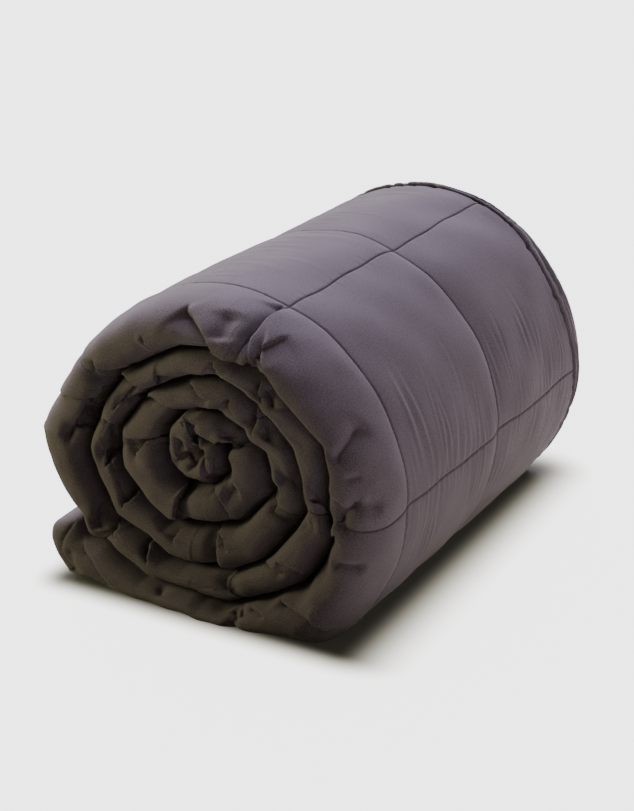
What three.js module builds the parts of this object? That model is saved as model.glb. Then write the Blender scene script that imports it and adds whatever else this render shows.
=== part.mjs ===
// A quilted weighted blanket, folded in quarters and rolled up, lying on a flat surface.
// The roll's axis runs along Y, with its closed fold at -Y and its hems at +Y. The loose
// end shows at the lower -X side. Millimetres, +Z up.

import * as THREE from 'three';

// The blanket laid flat, and its quilting.
const BLANKET_WIDTH = 1524;
const BLANKET_LENGTH = 2032;
const SQUARES_ACROSS = 10;
const SQUARES_ALONG = 12;
const LAYERS = 4;
const SQUARE_WIDTH = BLANKET_WIDTH / SQUARES_ACROSS;
const SQUARE_LENGTH = BLANKET_LENGTH / SQUARES_ALONG;
const SEAM_DEPTH = 4;
const SEAM_REACH = 13;
const PUFF_RISE = 1.5;
const SEAMS_AROUND = 2;
const FULL_RELIEF_RADIUS = 100;

// The folded strip: its fold is at the near end, its hems at the far end.
const FOLD_REACH = 56;
const FOLD_DEPTH = 28;
const FOLD_PINCH = 6;
const CORE_SLIP = 10;
const OUTER_HEM = 2 * SQUARE_WIDTH;
const SECOND_HEM_STEP = 7;
const INNER_FOLD_STEP = 15;
const HEM_SLIT = 20;
const HEM_ROUNDING = 2.5;
const HEM_CAP_SCALE = 25;

// The roll: the winding centre, and how much each millimetre along Y widens it.
const CENTRE_X = 8;
const CENTRE_Z = 133;
const WIDENING = 0.00012;
const TURN_GAP = 0.6;
const STATION_STEP = 10;
const FIRST_SEAM_ANGLE = -14.5;
const CORE_BOW = 7;
const BOWED_RADIUS = 60;
const BOW_LENGTH = 250;

// Distance from the winding centre to the face between one turn and the next, by compass
// bearing. The first row is the outside of the roll, and the last one is its core.
//   S   SSE   SE  ESE    E  ENE   NE  NNE    N  NNW   NW  WNW    W  WSW   SW  SSW
const TURN_FACES = [
  [172, 165, 152, 138, 124, 113, 105, 101, 101, 106, 114, 126, 140, 138, 123, 117],
  [114, 111, 110, 105, 95, 89, 80, 75, 73, 73, 77, 86, 97, 106, 104, 98],
  [92, 87, 82, 80, 72, 62, 56, 55, 53, 52, 56, 64, 75, 79, 74, 68],
  [59, 56, 53, 51, 46, 35, 31, 28, 28, 30, 32, 33, 36, 39, 39, 34],
  [28, 24, 19, 14, 12, 9, 6, 4, 3, 2.5, 2.5, 2.5, 2.5, 2.5, 2.5, 2.5],
  [2.5, 2.5, 2.5, 2.5, 2.5, 2.5, 2.5, 2.5, 2.5, 2.5, 2.5, 2.5, 2.5, 2.5, 2.5, 2.5],
];
const BEARINGS = TURN_FACES[0].length;

// The outside of the loose end, before the roll's own first bearing: WSW, SW and SSW.
const LOOSE_END_FACE = [176, 200, 200];

// The loose end's rounding, as a row for each station: its angle, the share of the full
// thickness that it keeps, and how far its two ends are drawn in.
const LOOSE_END = [
  { angle: -149, thickness: 0.35, drawnIn: 9 },
  { angle: -147.5, thickness: 0.8, drawnIn: 3 },
  { angle: -144.5, thickness: 0.84, drawnIn: 1 },
  { angle: -141, thickness: 0.97, drawnIn: 0 },
];
const FIRST_FULL_ANGLE = FIRST_SEAM_ANGLE - 120;
const LAST_ANGLE = FIRST_FULL_ANGLE + 360 * 4.5;

const CLOTH_COLOUR = 0x5a5257;

const radians = THREE.MathUtils.degToRad;

function turnsFromSouth(angle) {
  return (angle + 90) / 360;
}

// A smooth curve through the faces' table, at any unwound angle.
function tableRadius(angle) {
  const column = turnsFromSouth(angle) * BEARINGS;
  const radii = [...LOOSE_END_FACE, ...TURN_FACES.flat()];
  const place = column + LOOSE_END_FACE.length;
  const start = THREE.MathUtils.clamp(Math.floor(place), 0, radii.length - 2);
  const share = place - start;
  const before = radii[Math.max(start - 1, 0)];
  const after = radii[Math.min(start + 2, radii.length - 1)];
  const [from, to] = [radii[start], radii[start + 1]];
  const leaving = (to - before) / 2;
  const arriving = (after - from) / 2;
  const squared = share * share;
  const cubed = squared * share;
  return (2 * cubed - 3 * squared + 1) * from + (cubed - 2 * squared + share) * leaving
    + (3 * squared - 2 * cubed) * to + (cubed - squared) * arriving;
}

function facePoint(angle) {
  const radius = tableRadius(angle);
  return new THREE.Vector2(radius * Math.cos(radians(angle)), radius * Math.sin(radians(angle)));
}

// The angles where a quilting seam runs along the roll, whole squares of cloth apart and
// each at a station.
function seamsAlongRoll() {
  const seams = [];
  let sinceSeam = SQUARE_LENGTH;
  for (let angle = FIRST_SEAM_ANGLE; angle < LAST_ANGLE; angle += STATION_STEP) {
    const stride = facePoint(angle).distanceTo(facePoint(angle + STATION_STEP));
    if (sinceSeam > SQUARE_LENGTH - stride / 2) {
      seams.push(angle);
      sinceSeam -= SQUARE_LENGTH;
    }
    sinceSeam += stride;
  }
  return seams;
}

const SEAM_ANGLES = seamsAlongRoll();

// 1 on a seam that runs along the roll, falling to 0 at the stations beside it.
function seamNearness(angle) {
  const away = Math.min(...SEAM_ANGLES.map((seam) => Math.abs(angle - seam)));
  return Math.max(0, 1 - away / STATION_STEP);
}

// The lift of the cloth over its quilting: down at each seam, up in each square.
function quilting(angle, y) {
  const seam = SQUARE_WIDTH * THREE.MathUtils.clamp(Math.round(y / SQUARE_WIDTH), 0, SEAMS_AROUND - 1);
  const away = Math.abs(y - seam);
  const aroundLift = THREE.MathUtils.mapLinear(Math.min(away, SEAM_REACH), 0, SEAM_REACH, -SEAM_DEPTH, 0);
  const puff = THREE.MathUtils.smoothstep(away, SEAM_REACH, SQUARE_WIDTH / 2) * PUFF_RISE;
  return THREE.MathUtils.lerp(aroundLift + puff, -SEAM_DEPTH, seamNearness(angle));
}

// The share of the quilting's relief that is left at a face, less in the tight core.
function reliefShare(angle) {
  return Math.min(1, tableRadius(angle) / FULL_RELIEF_RADIUS);
}

// Distance from the winding centre to a face between turns. The surface that the roll lies
// on flattens its underside.
function faceRadius(angle, y) {
  const radius = tableRadius(angle);
  const lift = quilting(angle, y) * reliefShare(angle);
  const down = -Math.sin(radians(angle));
  const flattened = down > 0.2 ? CENTRE_Z / down : Infinity;
  return Math.min(radius + lift, flattened);
}

// The section of the folded strip across the roll, as rows of: the place along Y, and the
// share of the thickness inwards from its outer face. The near fold comes first.
function stripSection(angle) {
  const turnsIn = Math.max(0, turnsFromSouth(angle));
  const slip = Math.min(1, turnsIn / 3) * CORE_SLIP;
  const pinch = FOLD_PINCH * seamNearness(angle) * reliefShare(angle);
  const fold = -FOLD_REACH + slip + pinch;
  const layer = 1 / LAYERS;
  const firstHem = OUTER_HEM;
  const secondHem = OUTER_HEM + SECOND_HEM_STEP;
  const farFold = OUTER_HEM + INNER_FOLD_STEP;
  const slit = OUTER_HEM - HEM_SLIT;

  const outerFold = [0, 30, 60, 85].map((turned) => ({
    y: fold + FOLD_DEPTH * (1 - Math.cos(radians(turned))),
    inwards: 0.5 - 0.5 * Math.sin(radians(turned)),
  }));
  const quiltedPlaces = [
    -SEAM_REACH,
    0,
    SEAM_REACH,
    SQUARE_WIDTH / 2,
    SQUARE_WIDTH - SEAM_REACH,
    SQUARE_WIDTH,
    SQUARE_WIDTH + SEAM_REACH,
    1.5 * SQUARE_WIDTH,
  ];
  const outerFace = quiltedPlaces.map((y) => ({ y, inwards: 0 }));
  const hems = [
    { y: firstHem - HEM_ROUNDING, inwards: 0.06 },
    { y: firstHem, inwards: 0.5 * layer },
    { y: firstHem - HEM_ROUNDING, inwards: 0.85 * layer },
    { y: slit, inwards: layer },
    { y: secondHem - HEM_ROUNDING, inwards: 1.15 * layer },
    { y: secondHem, inwards: 1.5 * layer },
    { y: secondHem - HEM_ROUNDING, inwards: 1.85 * layer },
    { y: slit, inwards: 2 * layer },
    { y: farFold - 2 * HEM_ROUNDING, inwards: 2.2 * layer },
    { y: farFold, inwards: 3 * layer },
    { y: farFold - 2 * HEM_ROUNDING, inwards: 3.7 * layer },
  ];
  const innerFace = outerFace.map(({ y }) => ({ y, inwards: 1 })).reverse();
  const innerFold = outerFold.slice(1).reverse().map(({ y, inwards }) => ({ y, inwards: 1 - inwards }));
  return [...outerFold, ...outerFace, ...hems, ...innerFace, ...innerFold];
}

// One station of the strip: its section's points in space.
function stationPoints({ angle, thickness = 1, drawnIn = 0 }) {
  const ends = { near: -FOLD_REACH + drawnIn, far: OUTER_HEM + INNER_FOLD_STEP - drawnIn };
  return stripSection(angle).map(({ y, inwards }) => {
    const place = THREE.MathUtils.clamp(y, ends.near, ends.far);
    const outside = faceRadius(angle, place);
    const inside = faceRadius(angle + 360, place) + TURN_GAP;
    const share = 0.5 + (inwards - 0.5) * thickness;
    const radius = outside + (inside - outside) * share;
    const widened = 1 + WIDENING * place;
    const bow = CORE_BOW * Math.sin(Math.PI * place / BOW_LENGTH) * Math.max(0, 1 - radius / BOWED_RADIUS);
    const x = CENTRE_X + bow + radius * Math.cos(radians(angle));
    const z = CENTRE_Z + radius * Math.sin(radians(angle));
    return new THREE.Vector3(x * widened, place, Math.max(0, z * widened));
  });
}

function stationRows() {
  const rows = [...LOOSE_END];
  for (let angle = FIRST_FULL_ANGLE; angle <= LAST_ANGLE; angle += STATION_STEP) {
    rows.push({ angle });
  }
  return rows;
}

// Closes one end of the strip: a row of quads from the fold to the hems, whose corners face
// each other across the thickness, and then the hems' own outline.
function endCap(section) {
  const firstHem = section.findIndex(({ y }) => y > 1.5 * SQUARE_WIDTH);
  const faces = [];
  for (let point = 0; point < firstHem - 1; point += 1) {
    const across = (section.length - point) % section.length;
    const nextAcross = section.length - point - 1;
    if (point > 0) {
      faces.push([point, across, point + 1]);
    }
    faces.push([point + 1, across, nextAcross]);
  }
  const hems = section.slice(firstHem - 1, section.length - firstHem + 2);
  const outline = hems.map(({ y, inwards }) => new THREE.Vector2(y, -HEM_CAP_SCALE * inwards));
  const hemFaces = THREE.ShapeUtils.triangulateShape(outline, []);
  faces.push(...hemFaces.map((face) => face.map((corner) => corner + firstHem - 1)));
  return faces;
}

function stripGeometry() {
  const rows = stationRows();
  const stations = rows.map(stationPoints);
  const size = stations[0].length;
  const positions = stations.flat().flatMap((point) => point.toArray());
  const corner = (station, point) => station * size + (point % size);
  const faces = [];
  const innerSide = size / 2;

  for (let station = 0; station < stations.length - 1; station += 1) {
    for (let point = 0; point < size; point += 1) {
      const a = corner(station, point);
      const b = corner(station + 1, point);
      const c = corner(station + 1, point + 1);
      const d = corner(station, point + 1);
      if (point < innerSide) {
        faces.push(a, c, b, a, d, c);
      } else {
        faces.push(a, d, b, b, d, c);
      }
    }
  }
  const last = stations.length - 1;
  for (const [a, b, c] of endCap(stripSection(rows[0].angle))) {
    faces.push(a, b, c);
  }
  for (const [a, b, c] of endCap(stripSection(rows[last].angle))) {
    faces.push(corner(last, c), corner(last, b), corner(last, a));
  }

  const geometry = new THREE.BufferGeometry();
  geometry.setAttribute('position', new THREE.Float32BufferAttribute(positions, 3));
  geometry.setIndex(faces);
  return geometry;
}

// Puts the origin under the middle of the roll.
function centredOnFloor(geometry) {
  geometry.computeBoundingBox();
  const { min, max } = geometry.boundingBox;
  geometry.translate(-(min.x + max.x) / 2, -(min.y + max.y) / 2, -min.z);
  geometry.computeVertexNormals();
  return geometry;
}

const blanket = new THREE.Mesh(
  centredOnFloor(stripGeometry()),
  new THREE.MeshStandardMaterial({ color: CLOTH_COLOUR, roughness: 0.95, metalness: 0 }),
);
blanket.name = 'rolled_blanket';

const part = new THREE.Group();
part.add(blanket);

export default part;
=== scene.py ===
import math
import bpy
import numpy as np
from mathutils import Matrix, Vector


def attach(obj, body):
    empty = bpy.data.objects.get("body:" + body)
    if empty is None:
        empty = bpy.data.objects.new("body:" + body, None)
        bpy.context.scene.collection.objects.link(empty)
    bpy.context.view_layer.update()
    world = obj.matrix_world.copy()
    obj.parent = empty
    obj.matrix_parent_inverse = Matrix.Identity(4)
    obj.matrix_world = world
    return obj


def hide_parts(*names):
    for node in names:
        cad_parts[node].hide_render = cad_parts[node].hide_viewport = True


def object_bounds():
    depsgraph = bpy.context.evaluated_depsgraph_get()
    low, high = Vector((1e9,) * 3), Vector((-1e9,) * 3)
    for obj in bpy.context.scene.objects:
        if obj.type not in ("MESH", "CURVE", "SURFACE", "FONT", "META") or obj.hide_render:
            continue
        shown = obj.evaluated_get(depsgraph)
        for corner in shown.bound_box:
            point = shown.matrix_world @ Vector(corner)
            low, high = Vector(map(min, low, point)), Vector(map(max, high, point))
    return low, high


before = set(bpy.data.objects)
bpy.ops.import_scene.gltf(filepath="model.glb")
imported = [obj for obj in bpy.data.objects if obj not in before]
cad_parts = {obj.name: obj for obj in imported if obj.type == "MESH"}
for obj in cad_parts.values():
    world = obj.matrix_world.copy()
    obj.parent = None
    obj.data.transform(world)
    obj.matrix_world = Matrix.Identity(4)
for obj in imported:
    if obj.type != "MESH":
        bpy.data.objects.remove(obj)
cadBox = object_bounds()

mm = 0.001

# The camera's place is in metres and its angles are in degrees.
cameraView = {
    "place": (0.5173, -0.9307, 0.5075),
    "azimuth": 29.2,
    "pitch": 20.84,
    "focalPixels": 1450,
    "imageHeight": 811,
    "sensor": 36,
}


def addCamera():
    data = bpy.data.cameras.new("camera")
    data.sensor_width = cameraView["sensor"]
    data.lens = cameraView["focalPixels"] / cameraView["imageHeight"] * cameraView["sensor"]
    camera = bpy.data.objects.new("camera", data)
    bpy.context.scene.collection.objects.link(camera)
    turn = math.radians(cameraView["azimuth"])
    dip = math.radians(cameraView["pitch"])
    looking = Vector((-math.sin(turn) * math.cos(dip), math.cos(turn) * math.cos(dip), -math.sin(dip)))
    camera.location = cameraView["place"]
    camera.rotation_euler = looking.to_track_quat("-Z", "Y").to_euler()
    bpy.context.scene.camera = camera


# A node with its settings, and a value or a linked socket for each named input.
def addNode(tree, kind, settings=(), inputs=()):
    node = tree.nodes.new(kind)
    for name, value in dict(settings).items():
        setattr(node, name, value)
    for name, value in dict(inputs).items():
        if isinstance(value, bpy.types.NodeSocket):
            tree.links.new(value, node.inputs[name])
        else:
            node.inputs[name].default_value = value
    return node


def mathNode(tree, operation, first, second=0.0):
    return addNode(tree, "ShaderNodeMath", {"operation": operation}, {0: first, 1: second}).outputs[0]


def vectorNode(tree, operation, first, second=(0, 0, 0), output="Vector"):
    node = addNode(tree, "ShaderNodeVectorMath", {"operation": operation}, {0: first, 1: second})
    return node.outputs[output]


def softStep(tree, value, low, high, least=0.0, most=1.0):
    inputs = {"Value": value, "From Min": low, "From Max": high, "To Min": least, "To Max": most}
    node = addNode(tree, "ShaderNodeMapRange", {"interpolation_type": "SMOOTHSTEP"}, inputs)
    return node.outputs["Result"]


def colourMix(tree, factor, first, second):
    inputs = {"Factor": factor, "A": first, "B": second}
    return addNode(tree, "ShaderNodeMix", {"data_type": "RGBA"}, inputs).outputs["Result"]


def addShaders(tree, first, second):
    return addNode(tree, "ShaderNodeAddShader", (), {0: first, 1: second}).outputs[0]


# Metres, watts and degrees.
studio = {
    "floorSize": 60.0,
    "floorColour": (0.05, 0.05, 0.052, 1),
    "floorGlow": 3.55,
    "footprintLow": (-0.117, -0.171, -1),  # corners of the box round which the floor's painted shadow lies
    "footprintHigh": (0.108, 0.185, 1),
    "lowSideStretch": (1.85, 1.85, 1),  # above 1, the painted shadow is narrower at -X and -Y
    "shadeTo": 0.060,
    "shadeLeast": 0.055,
    "shadePower": 1.8,
    # the warm colour of the painted shadow where the roll meets the floor
    "paintedShadowTint": (1.0, 0.93, 0.72, 1),
    "bounceTowards": (0.95, 0.55, 0),
    "bounceReach": (-0.01, 0.13),  # over this stretch the floor turns from near to far
    "bounceNear": (0.17, 0.17, 0.085, 1),
    "bounceFar": (1.0, 0.98, 0.86, 1),
    "bounceGlow": 0.55,
    "bounceTint": (1.0, 1.0, 0.62, 1),
    "worldColour": (1.0, 0.98, 0.60, 1),
    "worldBrightFrom": (-0.62, 0.20, 0.75),
    "worldReach": (-0.6, 1.0),
    "worldDim": 0.02,
    "worldBright": 0.46,
    "keyFrom": (-0.43, 0.52, 0.73),
    "keySoftness": 66,
    "keyStrength": 10.6,
    "keyColour": (1.0, 0.95, 1.04),
    "fillFrom": (0.66, 0.74, 0.08),
    "fillSoftness": 90,
    "fillStrength": 0.05,
    "fillColour": (1.0, 1.04, 0.88),
    "sidePlace": (-0.62, -0.48, 0.34),
    "sideAim": (0.0, -0.19, 0.12),
    "sideSize": 0.26,
    "sideStrength": 5.0,
    "sideColour": (1.0, 1.04, 0.47),
}


# The floor as the camera sees it: white, with a painted shadow close round the roll's footprint, warmer
# near the contact.
def seenFloor(tree, place):
    above = vectorNode(tree, "MAXIMUM", vectorNode(tree, "SUBTRACT", place, studio["footprintHigh"]))
    below = vectorNode(tree, "MAXIMUM", vectorNode(tree, "SUBTRACT", studio["footprintLow"], place))
    stretched = vectorNode(tree, "MULTIPLY", below, studio["lowSideStretch"])
    distance = vectorNode(tree, "LENGTH", vectorNode(tree, "ADD", above, stretched), output="Value")
    opened = softStep(tree, distance, 0, studio["shadeTo"], studio["shadeLeast"])
    deepened = mathNode(tree, "POWER", opened, studio["shadePower"])
    paintedShadowColour = colourMix(tree, opened, studio["paintedShadowTint"], (1, 1, 1, 1))
    strength = mathNode(tree, "MULTIPLY", deepened, studio["floorGlow"])
    glow = addNode(tree, "ShaderNodeEmission", (), {"Color": paintedShadowColour, "Strength": strength})
    paper = addNode(tree, "ShaderNodeBsdfDiffuse", (), {"Color": studio["floorColour"]})
    return addShaders(tree, paper.outputs[0], glow.outputs[0])


# The floor as it lights the cloth: it throws back more from the right than from the front.
def bouncingFloor(tree, place):
    towards = vectorNode(tree, "DOT_PRODUCT", place, studio["bounceTowards"], "Value")
    spread = softStep(tree, towards, *studio["bounceReach"])
    tint = colourMix(tree, spread, studio["bounceNear"], studio["bounceFar"])
    strength = mathNode(tree, "MULTIPLY", spread, studio["bounceGlow"])
    glow = addNode(tree, "ShaderNodeEmission", (), {"Color": studio["bounceTint"], "Strength": strength})
    paper = addNode(tree, "ShaderNodeBsdfDiffuse", (), {"Color": tint})
    return addShaders(tree, paper.outputs[0], glow.outputs[0])


def floorMaterial():
    material = bpy.data.materials.new("paleFloor")
    material.use_nodes = True
    tree = material.node_tree
    tree.nodes.clear()
    place = addNode(tree, "ShaderNodeTexCoord").outputs["Object"]
    path = addNode(tree, "ShaderNodeLightPath").outputs["Is Camera Ray"]
    either = {0: path, 1: bouncingFloor(tree, place), 2: seenFloor(tree, place)}
    mixed = addNode(tree, "ShaderNodeMixShader", (), either)
    addNode(tree, "ShaderNodeOutputMaterial", (), {"Surface": mixed.outputs[0]})
    return material


def addWorld():
    world = bpy.data.worlds.new("studioLight")
    world.use_nodes = True
    tree = world.node_tree
    background = tree.nodes["Background"]
    background.inputs["Color"].default_value = studio["worldColour"]
    direction = addNode(tree, "ShaderNodeTexCoord").outputs["Generated"]
    towards = vectorNode(tree, "DOT_PRODUCT", direction, studio["worldBrightFrom"], "Value")
    brightness = softStep(tree, towards, *studio["worldReach"], studio["worldDim"], studio["worldBright"])
    tree.links.new(brightness, background.inputs["Strength"])
    bpy.context.scene.world = world


def addFloor():
    half = studio["floorSize"] / 2
    mesh = bpy.data.meshes.new("floor")
    corners = [(-half, -half, 0), (half, -half, 0), (half, half, 0), (-half, half, 0)]
    mesh.from_pydata(corners, [], [(0, 1, 2, 3)])
    floor = bpy.data.objects.new("floor", mesh)
    bpy.context.scene.collection.objects.link(floor)
    mesh.materials.append(floorMaterial())


def addLight(name, kind, pointing, place=(0, 0, 0)):
    lamp = bpy.data.lights.new(name + "Light", kind)
    lamp.energy = studio[name + "Strength"]
    lamp.color = studio[name + "Colour"]
    light = bpy.data.objects.new(name + "Light", lamp)
    light.location = place
    light.rotation_euler = pointing.to_track_quat("-Z", "Y").to_euler()
    bpy.context.scene.collection.objects.link(light)
    return lamp


def addStudio():
    addWorld()
    addFloor()
    for name in ("key", "fill"):
        sun = addLight(name, "SUN", -Vector(studio[name + "From"]))
        sun.angle = math.radians(studio[name + "Softness"])
    aim = Vector(studio["sideAim"]) - Vector(studio["sidePlace"])
    side = addLight("side", "AREA", aim, studio["sidePlace"])
    side.size = studio["sideSize"]


# Millimetres. y is measured from the seam nearest the fold, and the angle runs on round the
# roll from the loose end, counter-clockwise from +X as seen from the fold's side.
rollShape = {
    "shiftX": 5.03,
    "centreX": 1.0,
    "centreZ": 128.0,
    "widening": 0.00012,
    "squareWidth": 152.4,
    "looseEndAngle": -148.5,
    "coreEndAngle": 1560.0,
    "turnGap": 0.5,
    "floorGap": 0.3,
    "foldReach": 56,
    "coreRadius": 1.2,
    "endCloses": 12,  # stations over which each end of the strip rounds off
    "coreCloses": 8,
    "endThinnest": 0.1,
    "endDrawsIn": 0.05,
    "middleY": 130,
    "leastThickness": 1,
}
# The frame's y of the seam nearest the fold.
seamY = cadBox[0][1] / mm + rollShape["foldReach"]

# Distance from the winding centre to each face between turns, inside the roll: a row for
# each turn, and a column for each bearing from S round by E, N and W to SSW.
turnFaces = [
    [166, 163, 155, 144, 132, 121, 113, 108, 107, 109, 114, 123, 134, 139, 119, 113],
    [110, 110, 111, 109, 101, 94, 86, 79, 76, 75, 78, 85, 94, 101, 100, 95],
    [90, 87, 83, 82, 77, 66, 60, 58, 55, 53, 57, 64, 73, 76, 72, 67],
    [58, 57, 54, 53, 49, 38, 33, 31, 30, 31, 32, 33, 35, 37, 37, 33],
    [28, 25, 21, 17, 14, 14, 13, 11, 12, 14, 18, 28, 28, 28, 28, 28],
]
looseEndFace = [150, 165, 182, 182]
bearingStep = 360 / len(turnFaces[0])

# The corners of the same faces where they show at the fold: unwound angle and distance.
foldCorners = [
    (213, 127), (220, 130), (227, 119), (235, 118), (245, 117), (254, 111), (267, 108), (271, 111),
    (281, 112), (290, 111), (303, 110), (313, 112), (321, 111), (331, 109), (339, 110), (344, 104),
    (352, 98), (364, 101), (376, 101), (385, 92), (400, 85), (411, 87), (423, 80), (440, 76),
    (460, 76), (481, 73), (505, 82), (524, 87), (535, 91), (549, 101), (554, 103), (561, 102),
    (572, 101), (580, 104), (588, 97), (597, 91), (609, 95), (619, 93), (636, 89), (642, 91),
    (648, 88), (661, 86), (669, 84), (682, 82), (690, 83), (704, 85), (719, 78), (734, 72),
    (743, 66), (752, 66), (763, 61), (775, 59), (790, 59), (801, 56), (817, 54), (838, 53),
    (861, 59), (878, 63), (896, 72), (905, 76), (920, 77), (943, 72), (962, 70), (981, 59),
    (1014, 56), (1024, 55), (1043, 53), (1057, 55), (1076, 50), (1090, 46), (1103, 37), (1123, 33),
    (1149, 30), (1175, 30), (1206, 31), (1236, 32), (1268, 35), (1285, 37), (1299, 37), (1315, 36),
    (1341, 29), (1362, 26), (1397, 21), (1431, 14), (1474, 15), (1503, 10), (1550, 16), (1564, 28),
]

# The fold's tip along y, by unwound angle.
foldTips = [
    (-150, -55), (-110, -60), (-80, -64), (-45, -62), (-10, -56), (210, -54), (330, -52), (610, -48),
    (1560, -47),
]

# Where the outer turn's fold stands furthest forward, as a share of its thickness from outside.
foldCrests = [
    (-150, 0.60), (-30, 0.62), (10, 0.76), (95, 0.76), (130, 0.60), (160, 0.64), (185, 0.70),
    (205, 0.64),
]

# How much further out the outer turn stands at the fold than along its flank.
foldBulge = [
    (110, 0), (140, -2), (150, -3), (160, -3), (169, -1), (176, 4), (180, 8), (183, 12), (187, 9),
    (192, 5), (198, 2), (206, 0), (213, 0),
]

foldShape = {
    "innerDepth": 17,
    "squareness": 2.5,  # 2 makes the fold a half circle, and more makes it boxier
    "outerSquareness": 2.1,
    "leftSquareness": 2.7,
    "innerCrest": 0.58,  # where the fold stands furthest forward, as a share of its thickness
    "gapShare": 0.12,
    "lean": 0.10,
    "wander": 2.0,
    "cornerRounding": 0.7,
    "seamPull": 2.4,
    "pullReach": 6,
    "fadeBack": 15,
    "outerEnd": -12,
    "cornersFrom": (209, 214),  # unwound angles over which the list of corners takes over
    "blend": (12, -26),  # y over which the section inside the roll turns into the fold's
    "bulge": (-2, -38),  # y over which the outer turn's bulge comes in
    "leftFrom": (88, 128),  # angles over which the boxier left side comes in, and goes out
    "leftTo": (215, 160),
    "hiddenFrom": (205, 219),  # angles over which the turn outside comes to cover the cloth
    "leanSeed": 5,
    "wanderSeed": 8,
    "panelDegrees": (14, 34),
}


def smooth(low, high, value):
    share = np.clip((value - low) / (high - low), 0, 1)
    return share * share * (3 - 2 * share)


def insideRadius(angle):
    radii = np.array(looseEndFace + [radius for row in turnFaces for radius in row], float)
    places = np.arange(len(radii)) - len(looseEndFace)
    column = (angle + 90) / bearingStep
    start = np.clip(np.floor(column).astype(int) + len(looseEndFace), 1, len(radii) - 3)
    share = np.clip(column - places[start], 0, 1)
    before, at, after, beyond = (radii[start + step] for step in (-1, 0, 1, 2))
    leaving = (after - before) / 2
    arriving = (beyond - at) / 2
    return ((2 * share**3 - 3 * share**2 + 1) * at + (share**3 - 2 * share**2 + share) * leaving
            + (3 * share**2 - 2 * share**3) * after + (share**3 - share**2) * arriving)


fineStep = 0.25
fineAngles = np.arange(-160.0, 1960.0, fineStep)


# The radius at the fold: straight from corner to corner, with the corners rounded off.
def foldRadiusTable():
    corners = np.array(foldCorners, float)
    after = np.clip(np.searchsorted(corners[:, 0], fineAngles), 1, len(corners) - 1)
    fromAngle, fromRadius = corners[after - 1].T
    toAngle, toRadius = corners[after].T
    whole = np.radians(toAngle - fromAngle)
    passed = np.radians(np.clip(fineAngles, fromAngle, toAngle) - fromAngle)
    across = fromRadius * np.sin(passed) + toRadius * np.sin(whole - passed)
    radius = fromRadius * toRadius * np.sin(whole) / across
    outside = insideRadius(fineAngles)
    takesOver = smooth(*foldShape["cornersFrom"], fineAngles)
    radius = outside * (1 - takesOver) + radius * takesOver
    rounding = foldShape["cornerRounding"]
    reach = int(rounding / fineStep * 3)
    weights = np.exp(-0.5 * (np.arange(-reach, reach + 1) * fineStep / rounding) ** 2)
    padded = np.concatenate([np.full(reach, radius[0]), radius, np.full(reach, radius[-1])])
    return np.convolve(padded, weights / weights.sum(), "valid")


foldRadii = foldRadiusTable()


# Radius of the face between turns, from the fold's own section to that inside the roll.
def faceRadius(angle, y):
    inside = insideRadius(angle)
    atFold = np.interp(angle, fineAngles, foldRadii)
    share = smooth(*foldShape["blend"], y)
    radius = inside * (1 - share) + atFold * share
    bulge = np.array(foldBulge, float)
    rise = np.interp(angle, bulge[:, 0], bulge[:, 1], left=0, right=0)
    radius = radius + smooth(*foldShape["bulge"], y) * rise
    return np.where(angle > rollShape["coreEndAngle"], rollShape["coreRadius"], radius)


# The radius at which the cloth meets the floor, or a very large one where it can't.
def floorRadius(angle):
    down = -np.sin(np.radians(angle))
    room = rollShape["centreZ"] - rollShape["floorGap"]
    flattest = 0.15
    return np.where(down > flattest, room / np.maximum(down, flattest), 1e6)


def tipPlace(angle):
    tips = np.array(foldTips, float)
    return np.interp(angle, tips[:, 0], tips[:, 1])


def placePoint(angle, y, radius):
    widened = 1 + rollShape["widening"] * y
    x = rollShape["shiftX"] + (rollShape["centreX"] + radius * np.cos(np.radians(angle))) * widened
    z = (rollShape["centreZ"] + radius * np.sin(np.radians(angle))) * widened
    return np.stack([x, y + seamY, z], axis=-1)


# Stations along the strip, evenly spaced on the cloth but closer together at the seams.
def stationAngles(spacing):
    radius = np.minimum(insideRadius(fineAngles), floorRadius(fineAngles))
    x = radius * np.cos(np.radians(fineAngles))
    z = radius * np.sin(np.radians(fineAngles))
    steps = np.hypot(np.diff(x), np.diff(z))
    travelled = np.concatenate([[0], np.cumsum(steps)])
    seams = np.interp(seamBearings, fineAngles, travelled)
    gaps = np.abs(travelled[:-1, None] - seams).min(axis=1)
    crowding = sectionShape["seamCrowding"] * np.exp(-(gaps / sectionShape["crowdingReach"]) ** 4)
    weighted = np.concatenate([[0], np.cumsum(steps * (1 + crowding))])
    start = np.interp(rollShape["looseEndAngle"], fineAngles, weighted)
    end = np.interp(rollShape["coreEndAngle"], fineAngles, weighted)
    count = int((end - start) / spacing / 2) * 2 + 1
    angles = np.interp(np.linspace(start, end, count), weighted, fineAngles)
    for bearing in seamBearings:
        angles[int(np.abs(angles[::2] - bearing).argmin()) * 2] = bearing
    return angles


# Degrees by which the seam near a bearing wavers along the roll.
def seamWave(bearing, y):
    wave = seamLines["waver"] * np.sin(y / 23 + bearing)
    wave = wave + seamLines["fineWaver"] * np.sin(y / 9 + 2 * bearing)
    if bearing == seamLines["axial"][1]:
        wave = wave - seamLines["lowerKink"] * smooth(*seamLines["kinkOver"], y)
    return wave


def seamDrift(angle, y):
    drift = np.zeros(angle.shape)
    for bearing in seamLines["axial"]:
        drift += seamWave(bearing, y) * np.exp(-((angle - bearing) / seamLines["waverReach"]) ** 2)
    return drift


# How far each place along the fold is drawn back by the nearest seam.
def foldPull(angle):
    gaps = np.abs(angle[:, None] - seamBearings).min(axis=1)
    reach = np.degrees(foldShape["pullReach"] / np.interp(angle, fineAngles, foldRadii))
    return foldShape["seamPull"] * np.exp(-(gaps / reach) ** 2)


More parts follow.
